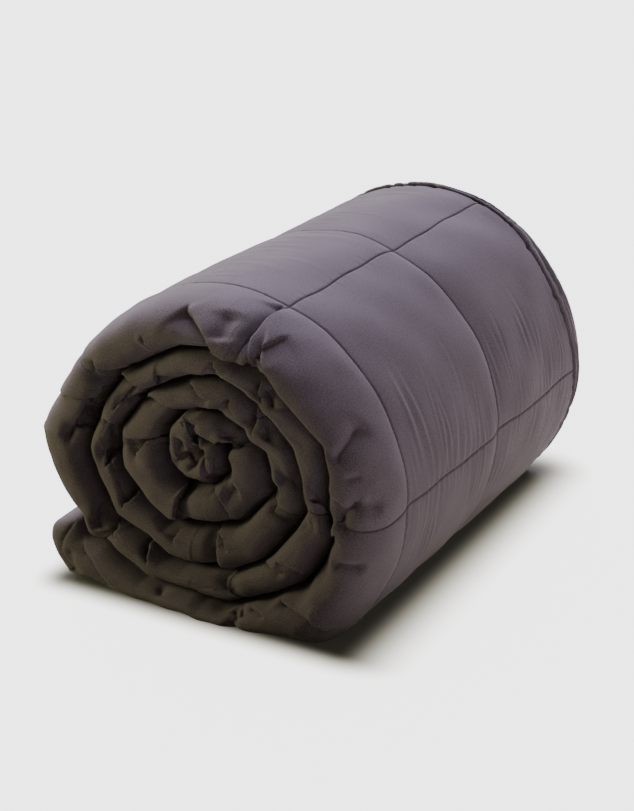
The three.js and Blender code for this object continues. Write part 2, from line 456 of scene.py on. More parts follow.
# The section's columns run in a loop: round the fold from its inner face to its outer one,
# along the flank, round the hems, and back along the inner face.
sectionShape = {
    "alongStrip": 1.05,
    "seamCrowding": 1.8,
    "crowdingReach": 3,
    "denseTo": 216,
    "foldColumns": 50,
    "flankStart": -11,
    "flankSpacing": 1.5,
    "flankEnd": 301,
    "seamOffsets": (-1.4, -0.6, 0, 0.6, 1.4),
    "hems": (
        (302.6, 0.0), (304.0, 0.01), (304.8, 0.07), (305.2, 0.12), (305.7, 0.06), (306.5, 0.0),
        (307.5, -0.01), (308.6, -0.015), (309.3, -0.015), (310, -0.015), (310.6, -0.01), (311.2, -0.01),
        (311.8, 0.0), (312.4, 0.0), (313.0, 0.0), (313.6, 0.01), (314.8, 0.03), (316, 0.07),
        (317.8, 0.15), (318.6, 0.24), (318.3, 0.32), (316.5, 0.38), (300, 0.42), (314, 0.47),
        (319, 0.54), (322, 0.64), (323, 0.74), (322, 0.84), (318, 0.94), (308, 0.99),
    ),
    "innerFace": (298, 280, 254, 228, 190, 152.4, 114, 76, 38, 0, -20),
    "sparseFlank": (-11, 76, 152.4, 228, 280),
    "seamClearance": 0.7,
    "same": 0.01,
    "closingGap": 20,
}


def isSparseColumn(place):
    return min(abs(place - kept) for kept in sectionShape["sparseFlank"]) < sectionShape["same"]


def flankColumns():
    shape = sectionShape
    evenly = np.arange(shape["flankStart"], shape["flankEnd"] + 0.1, shape["flankSpacing"])
    seams = np.array([0, rollShape["squareWidth"]])
    clear = np.abs(evenly[:, None] - seams).min(axis=1) > shape["seamOffsets"][-1] + shape["seamClearance"]
    kept = [float(place) for place in evenly[clear]]
    kept += [float(seam + offset) for seam in seams for offset in shape["seamOffsets"]]
    for place in shape["sparseFlank"]:
        if min(abs(place - other) for other in kept) > shape["same"]:
            kept.append(float(place))
    return sorted(kept)


# Every column as (kind, place, share): a fold column's place is its turn round the fold, and
# any other's is its y. The share runs from the outer face, 0, to the inner one, 1.
def sectionColumns():
    count = sectionShape["foldColumns"]
    columns = [("fold", math.radians(-90 + 180 * step / count), 0) for step in range(count + 1)]
    columns += [("flank", y, 0.0) for y in flankColumns()]
    columns += [("hem", y, share) for y, share in sectionShape["hems"]]
    columns += [("inner", y, 1.0) for y in sectionShape["innerFace"]]
    return columns


# How far the outer face of the fold is open to view, from 0 to 1.
def openness(angle):
    return 1 - smooth(*foldShape["hiddenFrom"], angle)


# An uneven course along the strip that turns at each panel's ends, within -1 to 1.
def panelDrift(angle, seed):
    made = np.random.RandomState(seed)
    panels = 140
    places = np.cumsum(made.uniform(*foldShape["panelDegrees"], panels)) - 180
    return np.interp(angle, places, made.uniform(-1, 1, panels))


# Where a fold column lies: its depth behind the tip, and its share of the thickness.
def foldSection(angle, turned):
    opened = openness(angle)
    if turned > 0:
        square = foldShape["outerSquareness"]
        onLeft = smooth(*foldShape["leftFrom"], angle) * smooth(*foldShape["leftTo"], angle)
        square = square + (foldShape["leftSquareness"] - square) * onLeft
        squareness = foldShape["squareness"] * (1 - opened) + square * opened
        depth = foldShape["innerDepth"] * (1 - opened) + (foldShape["outerEnd"] - tipPlace(angle)) * opened
    else:
        squareness = np.full_like(angle, foldShape["squareness"])
        depth = np.full_like(angle, float(foldShape["innerDepth"]))
    side = abs(math.sin(turned)) ** (2 / squareness)
    deep = 1 - abs(math.cos(turned)) ** (2 / squareness)
    if turned <= 0:
        side = side * (1 - foldShape["gapShare"] * (1 - deep) ** 0.5)
    else:
        side = side * (1 - foldShape["gapShare"] * (1 - opened) * (1 - deep) ** 0.5)
    crests = np.array(foldCrests, float)
    crest = np.interp(angle, crests[:, 0], crests[:, 1]) * opened
    leaning = foldShape["lean"] * panelDrift(angle, foldShape["leanSeed"])
    crest = crest + (foldShape["innerCrest"] + leaning) * (1 - opened)
    share = crest - side * crest if turned > 0 else crest + side * (1 - crest)
    return depth * deep, share


# The far hem's sewn line wanders to and fro round the outer turn.
hemPlaces = [
    (-150, -2), (-60, 0), (-20, 6), (-10, 0), (5, -8), (18, -10.5), (33, -6.5), (47, 2), (62, 5),
    (80, 6), (110, 2), (150, -3), (190, 0), (216, 0),
]
hemReach = {"from": (270, 300), "to": (319, 306), "stretch": 4, "stretchOver": (306, 318)}


def hemDrift(angle):
    places = np.array(hemPlaces, float)
    return np.interp(angle, places[:, 0], places[:, 1])


# The strip's thickness as a share of the full one: it rounds off over its last few stations.
def endRounding(station, count):
    fromLoose = np.minimum(station, rollShape["endCloses"]) / rollShape["endCloses"]
    fromCore = np.minimum(count - 1 - station, rollShape["coreCloses"]) / rollShape["coreCloses"]
    least = rollShape["endThinnest"]
    closing = [np.sqrt(1 - (1 - share) ** 2) * (1 - least) + least for share in (fromLoose, fromCore)]
    return closing[0] * closing[1]


def columnPoints(angle, column, station, count):
    kind, place, share = column
    if kind == "fold":
        behind, share = foldSection(angle, place)
        y = tipPlace(angle) + behind
        pulled = foldShape["wander"] * panelDrift(angle, foldShape["wanderSeed"]) + foldPull(angle)
        y = y + pulled * np.clip((sectionShape["flankStart"] - 1 - y) / foldShape["fadeBack"], 0, 1)
    else:
        y = place + hemDrift(angle) * smooth(*hemReach["from"], place) * smooth(*hemReach["to"], place)
        y = y + hemReach["stretch"] * smooth(*hemReach["stretchOver"], place)
    angle = angle + seamDrift(angle, y)
    thin = endRounding(station, count)
    middleY = rollShape["middleY"]
    y = middleY + (y - middleY) * (1 - rollShape["endDrawsIn"] * (1 - thin))
    outside = np.minimum(faceRadius(angle, y), floorRadius(angle))
    inside = faceRadius(angle + 360, y) + rollShape["turnGap"]
    inside = np.minimum(inside, outside - rollShape["leastThickness"])
    middle = 0.5 + (share - 0.5) * thin
    return placePoint(angle, y, outside + (inside - outside) * middle)


# Every point of the cloth's skin, as stations along the strip by columns round its section.
# "across" runs round the section in millimetres, from 0 at the middle of the fold.
def clothGrid():
    angles = stationAngles(sectionShape["alongStrip"])
    count = len(angles)
    station = np.arange(count)
    columns = sectionColumns()
    points = np.stack([columnPoints(angles, column, station, count) for column in columns], axis=1)
    steps = np.linalg.norm(np.diff(points, axis=1), axis=2)
    across = np.concatenate([np.zeros((count, 1)), np.cumsum(steps, axis=1)], axis=1)
    middle = sectionShape["foldColumns"] // 2
    across = across - across[:, middle:middle + 1]
    return {"angles": angles, "columns": columns, "points": points, "across": across}


# Unit directions on the skin: along the strip, across it, and outwards.
def skinDirections(points):
    along = np.gradient(points, axis=0)
    sideways = np.gradient(points, axis=1)
    along /= np.maximum(np.linalg.norm(along, axis=2, keepdims=True), 1e-9)
    sideways -= along * np.sum(along * sideways, axis=2, keepdims=True)
    sideways /= np.maximum(np.linalg.norm(sideways, axis=2, keepdims=True), 1e-9)
    return along, sideways, np.cross(sideways, along)


# The grid's points that the mesh keeps: all of the fold, and every other station elsewhere. The
# turns inside the roll keep only a few columns along their flank.
def usedPoints(grid):
    columns = grid["columns"]
    count = len(grid["angles"])
    isFold = np.array([kind == "fold" for kind, _, _ in columns])
    isSparse = np.array([kind != "flank" or isSparseColumn(place) for kind, place, _ in columns])
    lastDense = int(np.searchsorted(grid["angles"], sectionShape["denseTo"])) // 2 * 2
    used = np.zeros((count, len(columns)), bool)
    used[:, isFold] = True
    used[::2, isSparse] = True
    used[:lastDense + 1:2, :] = True
    return used, isSparse, lastDense


def stripMesh(grid):
    used, isSparse, lastDense = usedPoints(grid)
    count, total = used.shape
    number = np.cumsum(used.ravel()).reshape(used.shape) - 1
    vertices = grid["points"][used] * mm
    faces = []
    foldLast = sectionShape["foldColumns"]
    for row in range(count - 1):
        for column in range(foldLast):
            faces.append((number[row, column], number[row, column + 1],
                          number[row + 1, column + 1], number[row + 1, column]))
    sparse = [column for column in range(foldLast, total) if isSparse[column]]
    every = list(range(foldLast, total))
    for row in range(0, count - 2, 2):
        here = every if row <= lastDense else sparse
        there = every if row + 2 <= lastDense else sparse
        faces += stripFaces(number, row, row + 2, here + [0], there + [0], foldLast)
    rim = [column for column in range(total) if used[0, column]]
    faces.append(tuple(number[0, column] for column in reversed(rim)))
    rim = [column for column in range(total) if used[count - 1, column]]
    faces.append(tuple(number[count - 1, column] for column in rim))
    cloth = np.stack([alongCloth(grid), grid["across"]], axis=2)[used]
    wrap = float(np.median(grid["across"][:, -1])) + sectionShape["closingGap"]
    return vertices, faces, cloth, number[:, 0], wrap


# Millimetres along the strip, for each point of the grid.
def alongCloth(grid):
    middle = grid["points"][:, sectionShape["foldColumns"]]
    travelled = np.concatenate([[0], np.cumsum(np.linalg.norm(np.diff(middle, axis=0), axis=1))])
    return np.repeat(travelled[:, None], grid["across"].shape[1], axis=1)


# Faces between one kept station and the next, where their columns may differ.
def stripFaces(number, row, after, here, there, foldLast):
    faces = []
    common = [column for column in here if column in there]
    for first, second in zip(common[:-1], common[1:]):
        near = here[here.index(first):here.index(second) + 1]
        far = there[there.index(first):there.index(second) + 1]
        corners = [number[row, column] for column in near]
        if second == 0:
            corners.append(number[row + 1, 0])
        corners += [number[after, column] for column in reversed(far)]
        if first == foldLast:
            corners.append(number[row + 1, foldLast])
        faces.append(tuple(corners))
    return faces


creaseShape = {
    "depth": 2.2,
    "spread": 1.3,
    "fade": 6.0,
    "noFade": (8, 17),  # an end this far across, at the fold's edge, keeps its full depth
    "reach": 3.2,
    "lipStep": 1.1,
    "lipLift": 0.10,
    "lipOverhang": 0.30,
    "hollowDepth": 0.32,
    "hollowSpread": 1.5,
    "radiusInside": 12,  # from the fold's outside to its middle, for distances along it
    "deepest": 13,
    "highest": 5,
    "valleyPower": 1.6,
    "lowSidePower": 0.95,
}

# Creases in the cloth: kind, depth, width of the low side, width of the high side, and
# points as (unwound angle, millimetres across the fold). On a lip the high side is on the
# right of the points' path, seen from outside the cloth.
creases = [
    ("lip", 4.5, 8, 8, [(60, -4), (64, -6), (70, -5), (76, -2), (83, 8), (92, 21), (97, 28)]),
    ("lip", 2.5, 4, 5, [(56, -4), (61, -4), (69, -5), (74, -2)]),
    ("hollow", 4, 9, 9, [(93, 13)]),
    ("valley", 2.2, 6, 6, [(78, 32), (77, 21), (75, 6)]),
    ("lip", 2.4, 5, 5, [(53, -3), (56, -3), (59, 0), (62, 6), (64, 11), (65, 16), (65, 24), (66, 37),
        (66, 54), (68, 62)]),
    ("lip", 3, 6, 5, [(51, -3), (53, 1), (56, 7), (58, 14)]),
    ("lip", 1.2, 9, 6, [(55, 35), (57, 28), (58, 14)]),
    ("hollow", 2.5, 8, 8, [(52, 18)]),
    ("lip", 3, 4, 6, [(99, -14), (104, -12), (111, -8), (114, -2), (116, 5)]),
    ("ridge", 1.2, 2.5, 2.5, [(118, 7), (116, -2), (114, -10)]),
    ("lip", 5, 6, 6, [(134, -19), (139, -15), (143, -11), (144, -6), (145, 5)]),
    ("hollow", 4, 6, 6, [(145, -13)]),
    ("lip", 3.5, 4, 4, [(152, -19), (151, -14), (151, -10), (151, -4), (145, 5)]),
    ("valley", 1.2, 2.5, 2.5, [(155, -17), (161, -22)]),
    ("lip", 3.5, 9, 5, [(171, -24), (164, -19), (163, -9), (166, 9)]),
    ("valley", 7, 5, 5, [(183, 3), (181, -7), (178, -15), (174, -19), (171, -24)]),
    ("lip", 3, 3, 4, [(182, -5), (182, -11), (182, -19), (180, -25)]),
    ("hollow", 5, 10, 10, [(168, -20)]),
    ("valley", 4, 4, 4, [(216, -15), (218, -8), (220, 2)]),
    ("valley", 2.0, 5.5, 5.5, [(9, 2), (12, 9), (14, 16), (16, 24), (19, 36)]),
    ("lip", 0.45, 6, 6, [(9, 3), (12, 9), (14, 16), (16, 24), (19, 34)]),
    ("valley", 2.6, 3.4, 3.4, [(-13, -2), (-8, 7), (-6, 12), (-3, 21)]),
    ("lip", 0.6, 4, 5, [(-12, 0), (-8, 7), (-6, 12), (-3, 21)]),
    ("valley", 1.5, 2.8, 2.8, [(-7, 36), (-5, 28), (-3, 20)]),
    ("valley", 0.9, 2, 2, [(4, 10), (4, 15), (4, 21)]),
    ("ridge", 0.35, 2, 2, [(2, 22), (1, 29), (0, 36)]),
    ("valley", 2.4, 3.0, 3.0, [(-27, -4), (-25, 3), (-24, 11), (-24, 23)]),
    ("lip", 2.5, 4, 4, [(-15, -1), (-16, -6), (-14, -5), (-12, -3), (-10, 4)]),
    ("valley", 3, 6, 6, [(-3, 3), (-6, 0), (-11, -6)]),
    ("hollow", 2.5, 8, 8, [(-24, -3)]),
    ("hollow", 10, 7, 7, [(-33, -13)]),
    ("lip", 5, 5, 5, [(-46, 26), (-45, 4), (-49, -11), (-55, -25)]),
    ("hollow", 9, 8, 8, [(-45, -18)]),
    ("hollow", 4, 6, 6, [(-61, -21)]),
    ("hollow", 6, 6, 6, [(-81, -20)]),
    ("sharp", 2.5, 3, 3, [(-77, -18), (-74, -6), (-74, -1), (-73, 4)]),
    ("valley", 2, 2, 2, [(-74, -19), (-71, -9), (-70, -5)]),
    ("lip", 1.8, 3, 4, [(-61, -4), (-63, -11), (-69, -17)]),
    ("hollow", 2.5, 6, 6, [(-107, -15)]),
    ("valley", 1.2, 3, 3, [(-107, -12), (-105, -5)]),
    ("valley", 1.0, 3, 3, [(-134, 13), (-136, 7), (-138, 2), (-140, -4)]),
    ("lip", 1.6, 4, 5, [(-122, 6), (-128, 0), (-132, -6), (-136, -12)]),
    ("lip", 5, 6, 6, [(512, -10), (488, -11), (495, -6), (498, 0), (502, 10)]),
    ("lip", 3, 6, 5, [(525, 1), (521, -7), (517, -15)]),
    ("lip", 3, 3, 4, [(541, -14), (535, -8), (533, -3), (532, 1), (533, 6)]),
    ("sharp", 3.5, 4, 4, [(551, 7), (551, -2), (552, -9), (552, -15)]),
    ("lip", 4, 5, 5, [(558, 1), (558, -7), (556, -12), (555, -16)]),
    ("lip", 5, 7, 5, [(579, 2), (580, -8), (579, -16)]),
    ("lip", 4, 4, 4, [(228, 0), (226, -4), (226, -8), (225, -12)]),
    ("lip", 4, 6, 3, [(244, 0), (244, -4), (241, -14)]),
    ("lip", 5, 7, 4, [(284, 8), (285, 3), (284, -5), (282, -17)]),
    ("sharp", 2.5, 3, 3, [(703, -15), (691, -3), (692, 5), (691, 14)]),
    ("valley", 2, 3, 3, [(338, -9), (341, 0), (342, 6)]),
    ("lip", 2.5, 3, 4, [(320, 10), (318, 0), (314, -8)]),
    ("lip", 3, 3, 4, [(314, 5), (312, -2), (307, -12)]),
    ("lip", 2, 4, 4, [(353, 1), (351, 4), (351, 8), (350, 9)]),
    ("valley", 2, 5, 5, [(358, 10), (353, 4)]),
    ("hollow", 4, 5, 5, [(381, 2)]),
    ("sharp", 3, 3, 3, [(403, 10), (400, 7), (396, 3)]),
    ("lip", 4, 5, 4, [(403, -1), (407, 5), (409, 12)]),
    ("hollow", 5, 9, 9, [(416, 11)]),
    ("lip", 4.5, 6, 5, [(428, 0), (432, 2), (440, 7)]),
    ("lip", 5, 6, 6, [(814, -9), (835, -9), (844, -4), (852, 2), (860, 12)]),
    ("lip", 3.5, 3, 4, [(796, -1), (809, 3), (817, 9)]),
    ("hollow", 2, 6, 6, [(832, 11)]),
    ("lip", 4, 5, 5, [(770, -3), (783, 7)]),
    ("lip", 4.5, 4, 5, [(747, -4), (751, 2), (757, 9)]),
    ("sharp", 3, 3, 3, [(748, 12), (745, 10), (740, 4)]),
    ("hollow", 7, 6, 6, [(727, -3)]),
    ("valley", 3, 4, 4, [(714, -4), (715, 4), (715, 13)]),
    ("valley", 3.5, 3, 3, [(704, -11), (706, -3), (706, 0)]),
    ("lip", 3.5, 6, 5, [(890, -18), (893, -9), (897, 2), (901, 17)]),
    ("lip", 4, 4, 4, [(914, 8), (908, 0), (902, -7), (899, -14)]),
    ("hollow", 3, 3, 3, [(914, 8)]),
    ("lip", 5, 6, 4, [(612, 2), (614, -9)]),
    ("lip", 5, 6, 3, [(641, 10), (642, -2), (641, -11)]),
    ("lip", 3, 3, 5, [(647, 2), (647, -8), (641, -18)]),
    ("hollow", 1.5, 8, 8, [(655, -4)]),
    ("lip", 5, 7, 5, [(957, -16), (959, -7), (963, 4), (965, 11)]),
    ("hollow", 4, 5, 5, [(1318, 15)]),
    ("lip", 3.5, 3, 5, [(1020, 16), (1017, 15), (1020, 10), (1020, -3), (1009, -15)]),
    ("hollow", 6, 4, 4, [(1374, 12)]),
    ("valley", 2, 3, 3, [(1054, -14), (1046, -12), (1052, -5)]),
    ("valley", 2.5, 4, 4, [(1024, -4), (1039, 2), (1046, 5)]),
    ("lip", 4, 4, 4, [(1114, -2), (1135, -7), (1156, -5), (1176, -3), (1192, 5)]),
    ("sharp", 3, 3, 3, [(1188, 3), (1180, 0), (1174, -3)]),
    ("valley", 3, 3, 3, [(1120, 10), (1115, 5), (1114, 2)]),
    ("lip", 3, 3, 3, [(1089, -9), (1095, -1), (1095, 5), (1097, 10)]),
    ("sharp", 4, 4, 4, [(1287, 11), (1287, -7), (1295, -17)]),
    ("valley", 3, 4, 4, [(1253, 8), (1244, -6)]),
    ("sharp", 3, 3, 3, [(1276, 8), (1279, -4), (1295, -13)]),
    ("sharp", 3, 3, 3, [(1313, 2), (1313, -7), (1308, -14)]),
    ("sharp", 4, 3, 3, [(1114, -3), (1088, -11), (1058, -14), (1054, -13)]),
    ("valley", 1.5, 3, 3, [(1422, 6), (1396, 9)]),
]


# The sewn line of the loose end's hem, where it slants across the fold.
looseEndHem = [
    (-146, -17), (-145, -11), (-144, -6), (-143, 0), (-141, 6), (-138, 10), (-136, 13), (-134, 17),
    (-136, 24), (-140, 34), (-143, 46),
]
looseEndCrease = ("sharp", 0.9, 1.1, 1.1, looseEndHem)


# Height and sideways overhang of a crease, at signed distances t from its line.
def creaseProfile(kind, depth, low, high, t):
    away = np.abs(t)
    if kind == "valley":
        return -depth * np.exp(-(away / low) ** creaseShape["valleyPower"]), 0 * t
    if kind == "sharp":
        return -depth * np.exp(-away / low), 0 * t
    if kind == "ridge":
        return depth * np.exp(-(away / low) ** 2), 0 * t
    rise = smooth(0, creaseShape["lipStep"], t)
    beyond = np.maximum(t - creaseShape["lipStep"], 0)
    lift = creaseShape["lipLift"] * depth
    onHigh = -depth * (1 - rise) + lift * rise * np.exp(-(beyond / high) ** 2)
    onLow = -depth * np.exp(-(away / low) ** creaseShape["lowSidePower"])
    shift = creaseShape["lipOverhang"] * depth * rise * np.exp(-(beyond / high) ** 2)
    return np.where(t < 0, onLow, onHigh), np.where(t < 0, 0, shift)


# Seams as sewn lines: each ring runs round the roll, and each axial seam along it. A ring has
# its dip, and how far the dip reaches to the near and the far side.
seamLines = {
    "rings": (0.0, 152.4),
    "ringDips": ((1.1, 6, 9), (2.4, 6, 17)),
    "axial": (-75.0, -11.8, 65.9, 151.9),
    "foldCrossings": (225, 286, 346, 404, 535, 636, 695, 755, 906, 1095),
    "axialDip": 0.35,
    "axialReach": 5.0,
    "dipPower": 1.3,
    "faintest": 0.35,  # share of a ring's dip that is left over the top and underneath
    "faintOverTop": (85, 50),
    "faintBelow": (-60, -25),
    "groove": 1.1,
    "grooveWidth": 0.6,
    "pucker": 0.35,
    "puckerReach": 4,
    "puckerClear": (0.2, 2.0),
    "puff": 1.2,
    "puffReach": 60,
    "waver": 0.3,  # degrees, as are the next three
    "fineWaver": 0.2,
    "waverReach": 7,
    "lowerKink": 1.4,
    "kinkOver": (7, -7),
    "rollRadius": 128,
}

# Where each relief comes in and goes out again: distances across the cloth from the middle of
# the fold, or y where the name says so.
reliefBounds = {
    "flankFromY": (-30, -4),
    "flankToY": (311, 303),
    "faceFrom": (-22, -12),
    "faceToY": (306, 303),
    "foldFrom": (-19, -13),
    "foldTo": (19, 13),
    "endHemFrom": (40, 52),
    "wrinklesFromY": (-14, -2),
    "wrinklesToY": (304, 298),
    "fillingFromY": (-30, 0),
    "fillingToY": (306, 290),
    "foldFillingY": (0, -20),
}

# Bearings at which a seam crosses the strip, outer turn first.
seamBearings = np.array(seamLines["axial"] + seamLines["foldCrossings"], float)

# Fine wrinkles that run round the roll: one group crosses the lower seam, the other lies behind
# the upper seam. Each group is its seed, middle angle, spread, height, width and spacing.
fineWrinkles = {
    "groups": ((11, -9, 13, 0.66, 1.3, 4.6), (12, 107, 9, 0.62, 2.6, 8.5)),
    "from": -6.0,
    "to": 300.0,
    "longest": 17.0,
    "blockReach": 66,
    "lengthShare": (0.3, 1),
    "lean": (-0.22, 0.22),
    "heightShare": (0.25, 1),
    "heightPower": 1.5,
    "widthShare": (0.8, 1.9),
    "spacingShare": (0.3, 1.7),
    "sway": 1.5,
    "swayDegrees": 7,
    "endPower": 2.2,
    "hollow": 0.9,  # beside each wrinkle lies a hollow, sized in the wrinkle's own widths
    "hollowPlace": 1.6,
    "hollowWidth": 1.1,
}

# Broad, shallow unevenness of the filling under the cloth, on the flank and on the fold.
fillingShape = {
    "seed": 4,
    "waves": 26,
    "flankHeight": 0.48,
    "foldHeight": 0.20,
    "flankWaves": ((0.02, 0.11), (-0.12, 0.12)),  # radians in a millimetre, along and across
    "foldWaves": ((0.08, 0.26), (-0.2, 0.2)),
}


def sewnGroove(gap):
    return seamLines["groove"] * np.exp(-(np.abs(gap) / seamLines["grooveWidth"]) ** 1.5)


# Small gathers along a seam, from the distance to it and the place along it.
def gathers(gap, along):
    wave = np.sin(along / 1.9 + 1.5 * np.sin(along / 7)) * np.sin(along / 5.3 + np.sin(along / 11))
    away = np.abs(gap)
    fade = np.exp(-away / seamLines["puckerReach"])
    return seamLines["pucker"] * wave * fade * smooth(*seamLines["puckerClear"], away)


# The sewn squares: their puffed middles, the dips and grooves at the seams, and small gathers.
def seamRelief(grid, y):
    angles = grid["angles"][:, None]
    across = grid["across"]
    outerTurn = openness(angles)
    bounds = reliefBounds
    onFlank = smooth(*bounds["flankFromY"], y) * smooth(*bounds["flankToY"], y) * outerTurn
    onOuterFace = smooth(*bounds["faceFrom"], across) * smooth(*bounds["faceToY"], y) * outerTurn
    power = seamLines["dipPower"]
    faintest = seamLines["faintest"]
    inSight = smooth(*seamLines["faintOverTop"], angles) * smooth(*seamLines["faintBelow"], angles)
    share = faintest + (1 - faintest) * inSight
    arc = np.radians(1) * seamLines["rollRadius"]
    dips = np.zeros(y.shape)
    grooves = np.zeros(y.shape)
    small = np.zeros(y.shape)
    for ring, (dip, near, far) in zip(seamLines["rings"], seamLines["ringDips"]):
        gap = y - ring
        reach = np.where(gap < 0, near, far)
        dips += dip * share * np.exp(-(np.abs(gap) / reach) ** power) * onFlank
        grooves = np.maximum(grooves, sewnGroove(gap) * onFlank)
        small += gathers(gap, angles * arc) * onFlank
    nearestSeam = np.full(y.shape, 1e9)
    for bearing in seamLines["axial"]:
        gap = (angles - bearing) * arc
        nearestSeam = np.minimum(nearestSeam, np.abs(gap))
        dip = seamLines["axialDip"] * np.exp(-(np.abs(gap) / seamLines["axialReach"]) ** power)
        dips += dip * onOuterFace
        grooves = np.maximum(grooves, sewnGroove(gap) * onOuterFace)
        small += gathers(gap, y + bearing) * onOuterFace
    onFold = smooth(*bounds["foldFrom"], across) * smooth(*bounds["foldTo"], across)
    for bearing in seamLines["foldCrossings"]:
        gap = (angles - bearing) * np.radians(1) * float(np.interp(bearing, fineAngles, foldRadii))
        grooves = np.maximum(grooves, sewnGroove(gap) * onFold)
    inSquare = np.sin(np.pi * np.clip((y % rollShape["squareWidth"]) / rollShape["squareWidth"], 0, 1))
    clear = np.clip(nearestSeam / seamLines["puffReach"], 0, 1)
    puffed = seamLines["puff"] * np.sqrt(np.abs(inSquare)) * clear * onFlank
    hem = sewnGroove(alongCloth(grid) - stitching["hemWidth"]) * smooth(*bounds["endHemFrom"], across)
    return puffed + small - dips - np.maximum(grooves, hem)


def wrinkleRelief(grid, y):
    angles = grid["angles"][:, None]
    height = np.zeros(y.shape)
    shape = fineWrinkles
    for seed, middle, spread, ridge, width, spacing in shape["groups"]:
        made = np.random.RandomState(seed)
        rows = np.nonzero(np.abs(grid["angles"] - middle) < shape["blockReach"])[0]
        block = slice(rows[0], rows[-1] + 1)
        place = shape["from"]
        while place < shape["to"]:
            centre = middle + made.normal(0, spread)
            length = shape["longest"] * made.uniform(*shape["lengthShare"])
            lean = made.uniform(*shape["lean"])
            strength = ridge * made.uniform(*shape["heightShare"]) ** shape["heightPower"]
            wide = width * made.uniform(*shape["widthShare"])
            run = angles[block] - centre
            path = place + lean * run + shape["sway"] * np.sin(run / shape["swayDegrees"] + place)
            away = (y[block] - path) / wide
            fade = np.exp(-(np.abs(run) / length) ** shape["endPower"])
            beside = (away - shape["hollowPlace"]) / shape["hollowWidth"]
            section = np.exp(-away**2) - shape["hollow"] * np.exp(-beside**2)
            height[block] += strength * fade * section
            place += spacing * made.uniform(*shape["spacingShare"])
    inFlank = smooth(*reliefBounds["wrinklesFromY"], y) * smooth(*reliefBounds["wrinklesToY"], y)
    return height * inFlank * openness(angles)


def fillingRelief(grid, y):
    angles = grid["angles"][:, None]
    made = np.random.RandomState(fillingShape["seed"])
    onFlank = np.zeros(y.shape)
    onFold = np.zeros(y.shape)
    along = alongCloth(grid)
    flankAlong, flankAcross = fillingShape["flankWaves"]
    foldAlong, foldAcross = fillingShape["foldWaves"]
    for _ in range(fillingShape["waves"]):
        start = made.uniform(0, 6.28)
        onFlank += np.sin(along * made.uniform(*flankAlong) + y * made.uniform(*flankAcross) + start)
        phase = along * made.uniform(*foldAlong) + grid["across"] * made.uniform(*foldAcross) + start
        onFold += np.sin(phase)
    scale = math.sqrt(2 / fillingShape["waves"])
    reach = smooth(*reliefBounds["fillingFromY"], y) * smooth(*reliefBounds["fillingToY"], y)
    onFlank *= fillingShape["flankHeight"] * scale * (reach * openness(angles))
    onFold *= fillingShape["foldHeight"] * scale * smooth(*reliefBounds["foldFillingY"], y)
    return onFlank + onFold


# Lengthwise pleats and short puckers in the band beyond the far hem's sewn line.
hemBand = {
    "seed": 3,
    "flare": 1.9,
    "pleat": 2.8,
    "puckers": 90,
    "pucker": 1.1,
    "pleats": ((309.2, 0.0), (312.6, 2.1)),  # each pleat's y, and where its waves start
    "pleatWidth": 0.9,
    "puckersOver": (-150, 214),
    "puckerDegrees": (0.5, 1.1),
    "puckerLengths": (3, 7),
    "puckerShare": (0.4, 1),
    "puckerPlaces": (303, 311),
    "standsFrom": (305.1, 306.6),
    "fallsOver": (308, 314.5),
    "fallsBy": 0.65,
    "flareFrom": (-40, -10),
    "flareTo": (150, 115),
}


def hemRelief(grid):
    angles = grid["angles"][:, None]
    farAway = -999
    places = [place if kind in ("flank", "hem") else farAway for kind, place, _ in grid["columns"]]
    place = np.array(places, float)[None, :]
    made = np.random.RandomState(hemBand["seed"])
    height = np.zeros(grid["across"].shape)
    for middle, start in hemBand["pleats"]:
        strength = 0.55 + 0.45 * np.sin(angles / 9 + start) * np.sin(angles / 23 + 2 * start)
        away = place - middle - np.sin(angles / 13 + start)
        height -= hemBand["pleat"] * strength * np.exp(-(away / hemBand["pleatWidth"]) ** 2)
    for bearing in made.uniform(*hemBand["puckersOver"], hemBand["puckers"]):
        reach = made.uniform(*hemBand["puckerDegrees"])
        length = made.uniform(*hemBand["puckerLengths"])
        depth = hemBand["pucker"] * made.uniform(*hemBand["puckerShare"])
        middle = made.uniform(*hemBand["puckerPlaces"])
        height -= (depth * np.exp(-((angles - bearing) / reach) ** 2)
                   * np.exp(-((place - middle) / length) ** 2))
    flaring = hemBand["flare"] * (1 + 0.5 * np.sin(angles / 5.5) * np.sin(angles / 17))
    fallen = hemBand["fallsBy"] * smooth(*hemBand["fallsOver"], place)
    standing = smooth(*hemBand["standsFrom"], place) * (1 - fallen)
    flaring = flaring * standing * smooth(*hemBand["flareFrom"], angles)
    height += flaring * smooth(*hemBand["flareTo"], angles)
    return height * openness(angles)


# The nearest spot of a path to each place: the signed distance, the share of the way along, and
# the direction across the path there.
def nearestOnPath(pathX, pathY, placeX, placeY):
    travelled = np.concatenate([[0], np.cumsum(np.hypot(np.diff(pathX), np.diff(pathY)))])
    nearest = np.full(placeX.shape, 1e9)
    signed = np.zeros(placeX.shape)
    share = np.zeros(placeX.shape)
    sideX = np.zeros(placeX.shape)
    sideY = np.zeros(placeX.shape)
    for first in range(len(pathX) - 1):
        stepX = pathX[first + 1] - pathX[first]
        stepY = pathY[first + 1] - pathY[first]
        length = math.hypot(stepX, stepY)
        stepX, stepY = stepX / length, stepY / length
        offX = placeX - pathX[first]
        offY = placeY - pathY[first]
        forward = np.clip(offX * stepX + offY * stepY, 0, length)
        distance = np.hypot(offX - forward * stepX, offY - forward * stepY)
        side = np.sign(stepX * offY - stepY * offX)
        closer = distance < nearest
        nearest = np.where(closer, distance, nearest)
        signed = np.where(closer, distance * side, signed)
        share = np.where(closer, (travelled[first] + forward) / travelled[-1], share)
        sideX = np.where(closer, -stepY, sideX)
        sideY = np.where(closer, stepX, sideY)
    return signed, share, sideX, sideY, travelled[-1]


